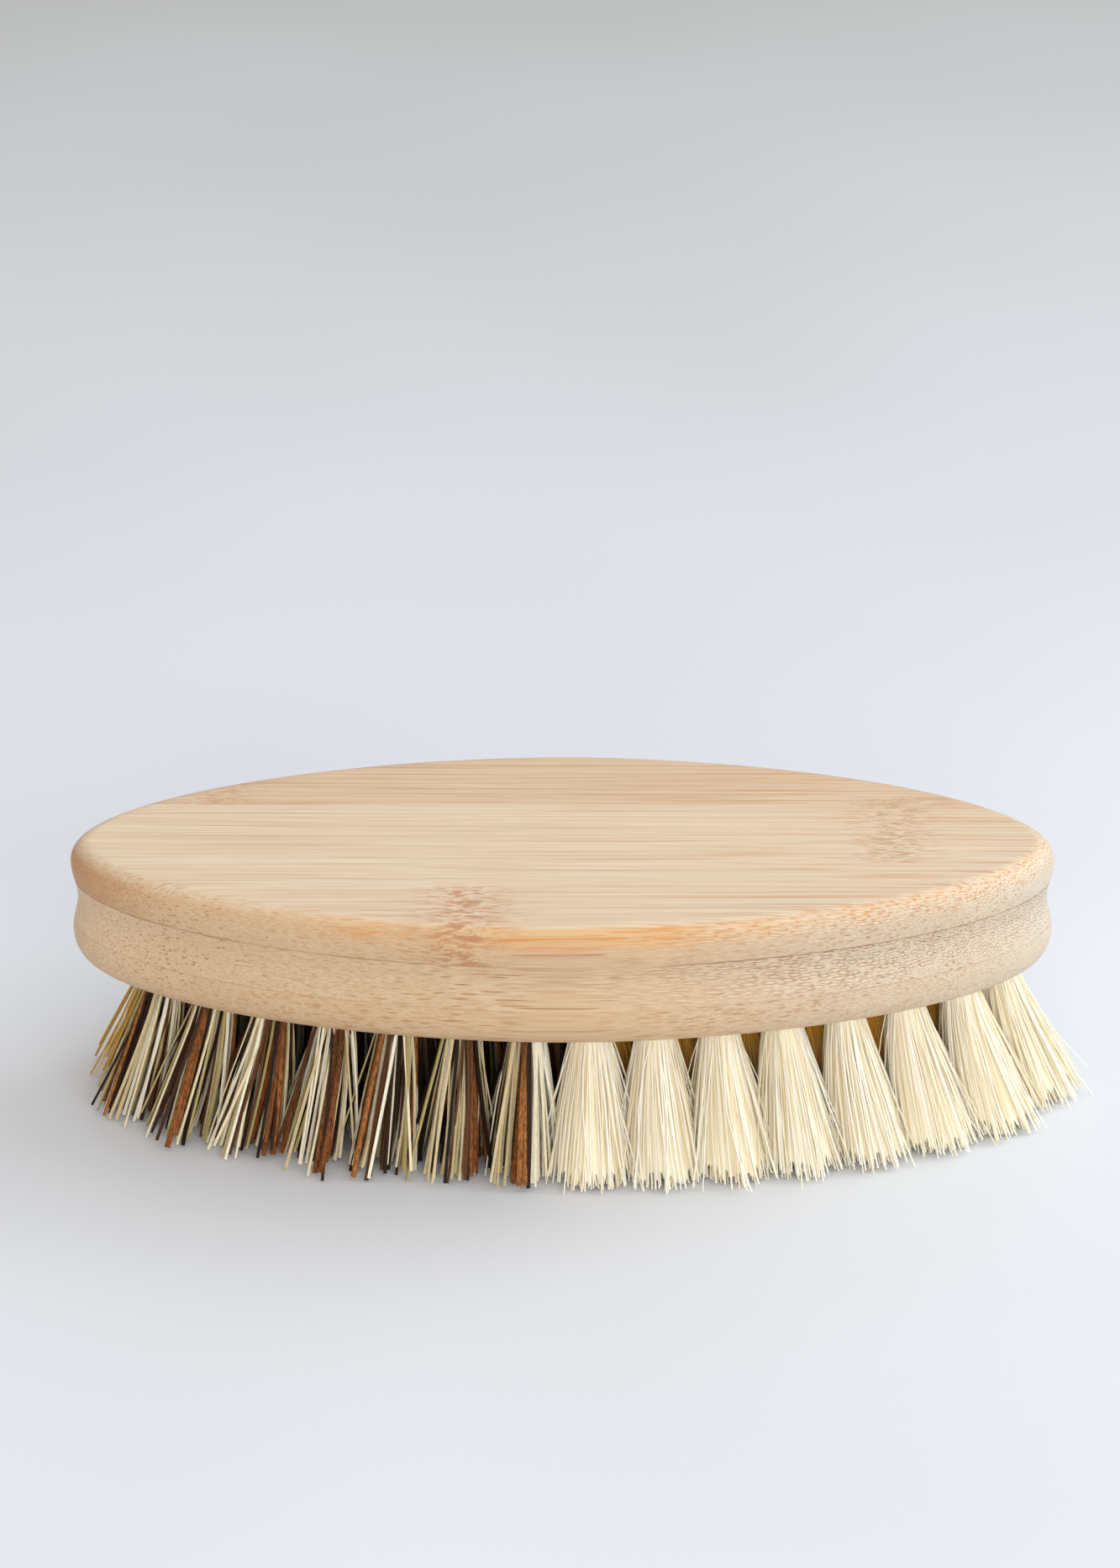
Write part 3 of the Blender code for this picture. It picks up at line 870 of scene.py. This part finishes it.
def mixed_tuft(node, seat):
    """Stiff fibres of three sorts, with a sweep of thick brown ones on the tufts that show."""
    name = f"{node}_fibres"
    rng = random.Random(name)
    bm = empty_bundle()
    sorts = [(kind, radius) for kind, count, radius in MIXED_FIBRES for number in range(count)]
    rng.shuffle(sorts)
    total = sum(radius ** 2 for kind, radius in sorts)
    filled = 0.0
    for number, (kind, radius) in enumerate(sorts):
        rho = math.sqrt((filled + radius ** 2 / 2) / total)
        filled += radius ** 2
        turn = (number * GOLDEN_TURN + rng.gauss(0, MIXED_JITTER)) % math.tau
        out = Vector((math.cos(turn), math.sin(turn), 0))
        if node == LAST_MIXED_TUFT and out.x > CREAM_SIDE:
            kind = "cream"
        elif rho > 0.5 and abs(turn - BROWN_TURNS.get(node, math.inf)) < BROWN_SWEEP:
            kind, radius = SWEEP_FIBRES[0 if rng.random() < SWEEP_BROWN_SHARE else 1]
        size = radius * rng.uniform(*MIXED_SIZES)
        if node == STRAW_TUFT:
            kind, size = "straw", STRAW_RADIUS
        line = fibre_line(rng, seat, rho, out, size, MIXED_SPREAD, MIXED_WANDER, MIXED_BEND)
        tones, speckle = mixed_tones(rng, kind, not node.startswith("outer"))
        template = thick_fibre if kind == "brown" else fine_fibre
        flatness = rng.uniform(*MIXED_FLATNESS)
        lay_fibre(bm, template, line, out, size, tones, flatness, rng.gauss(0, MIXED_TWIST), speckle)
    return finished(bm, name, stiff_finish)


for node, seat in seats.items():
    soft = seat[0].x > 0
    piece = (cream_tuft if soft else mixed_tuft)(node, seat)
    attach(piece, "root")
    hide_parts(node)


# The floor is a plain pale worktop with a faint polish. It isn't part of the brush. It is darker far
# behind the brush. In front of it and to its right it has painted shade and less polish, against the glare
# of the two windows in views from the other sides. Its ranges are in metres.
FLOOR_REACH = 6.0
FLOOR_SIDES = 96
NEAR_FLOOR = srgb(231, 233, 238)
FAR_FLOOR = srgb(148, 144, 134)
WINDOW_GLARE_SHADE = srgb(164, 164, 163)
FLOOR_CLOUDS = 6.0
CLOUD_DEPTH = 0.3
FAR_BACK = (0.0, 0.7, 0.0, 0.8)
TOWARDS_FRONT_WINDOW = (-0.12, -0.65)
TOWARDS_RIGHT_WINDOW = (0.10, 0.60)
POLISH_IN_FRONT = (-0.05, -0.25, 0.14, 0.0)
POLISH_TO_THE_RIGHT = (0.07, 0.25, 1.0, 0.0)
FLOOR_ROUGHNESS = 0.45


def worktop_finish():
    made, shader = new_finish("pale_worktop")
    x, y, z = object_place(made.node_tree, 1.0)
    clouds = cloudy(joined(x * FLOOR_CLOUDS, y * FLOOR_CLOUDS, z * FLOOR_CLOUDS))
    colour = blended(clouds * CLOUD_DEPTH + fade(y, *FAR_BACK), NEAR_FLOOR, FAR_FLOOR)
    # Painted shade in front of the brush and to its right, against the windows' glare.
    glare_shade_share = larger(fade(y, *TOWARDS_FRONT_WINDOW), fade(x, *TOWARDS_RIGHT_WINDOW))
    feed(shader, {
        "Base Color": blended(glare_shade_share, colour, WINDOW_GLARE_SHADE),
        "Specular IOR Level": fade(y, *POLISH_IN_FRONT) * fade(x, *POLISH_TO_THE_RIGHT),
        "Roughness": FLOOR_ROUGHNESS,
    })
    return made


bm = bmesh.new()
bmesh.ops.create_circle(bm, cap_ends=True, segments=FLOOR_SIDES, radius=FLOOR_REACH)
floor = finished(bm, "worktop", worktop_finish())


# Soft daylight: a pale sky that turns to warm shade on the left, one wide window to the right
# and a little behind the brush, and a second behind the camera, a little weaker at the brush.
# The camera and reflections see an even backdrop in place of the sky.
SKY_STRENGTH = 0.92
SKY_TURNS = (-0.9, 0.9)
ROOM_SHADE = (0.66, 0.60, 0.54, 1.0)
DAYLIGHT = (0.93, 1.0, 1.07, 1.0)
BACKDROP = srgb(224, 226, 230)

world = bpy.data.worlds.new("daylight")
world.use_nodes = True
bpy.context.scene.world = world
sky = world.node_tree
rays = add(sky, "ShaderNodeLightPath")
reflected = larger(Value(rays, "Is Glossy Ray"), Value(rays, "Is Transmission Ray"))
seen = larger(Value(rays, "Is Camera Ray"), reflected)
heading = parted("XYZ", Value(add(sky, "ShaderNodeTexCoord"), "Generated"))[0]
light = sky.nodes["Background"]
feed(light, {"Color": blended(fade(heading, *SKY_TURNS), ROOM_SHADE, DAYLIGHT), "Strength": SKY_STRENGTH})
backdrop = add(sky, "ShaderNodeBackground", {"Color": BACKDROP, "Strength": 1.0})
either = add(sky, "ShaderNodeMixShader", {0: seen, 1: Value(light), 2: Value(backdrop)})
feed(sky.nodes["World Output"], {"Surface": Value(either)})


def window(name, place, width, height, power, colour):
    """A wide soft light that faces the brush."""
    made = bpy.data.objects.new(name, bpy.data.lights.new(name, "AREA"))
    made.data.shape = "RECTANGLE"
    made.data.size = width
    made.data.size_y = height
    made.data.energy = power
    made.data.color = colour
    facing = Vector(place).to_track_quat("Z", "Y").to_matrix()
    made.matrix_world = Matrix.Translation(place) @ facing.to_4x4()
    bpy.context.scene.collection.objects.link(made)


window("right_window", (1.0, 0.2, 0.6), width=0.9, height=0.7, power=9.0, colour=(0.89, 0.97, 1.06))
window("front_window", (0.4, -1.5, 0.55), width=1.6, height=0.9, power=14.5, colour=(0.97, 0.97, 0.95))

bpy.context.scene.view_settings.view_transform = "Standard"
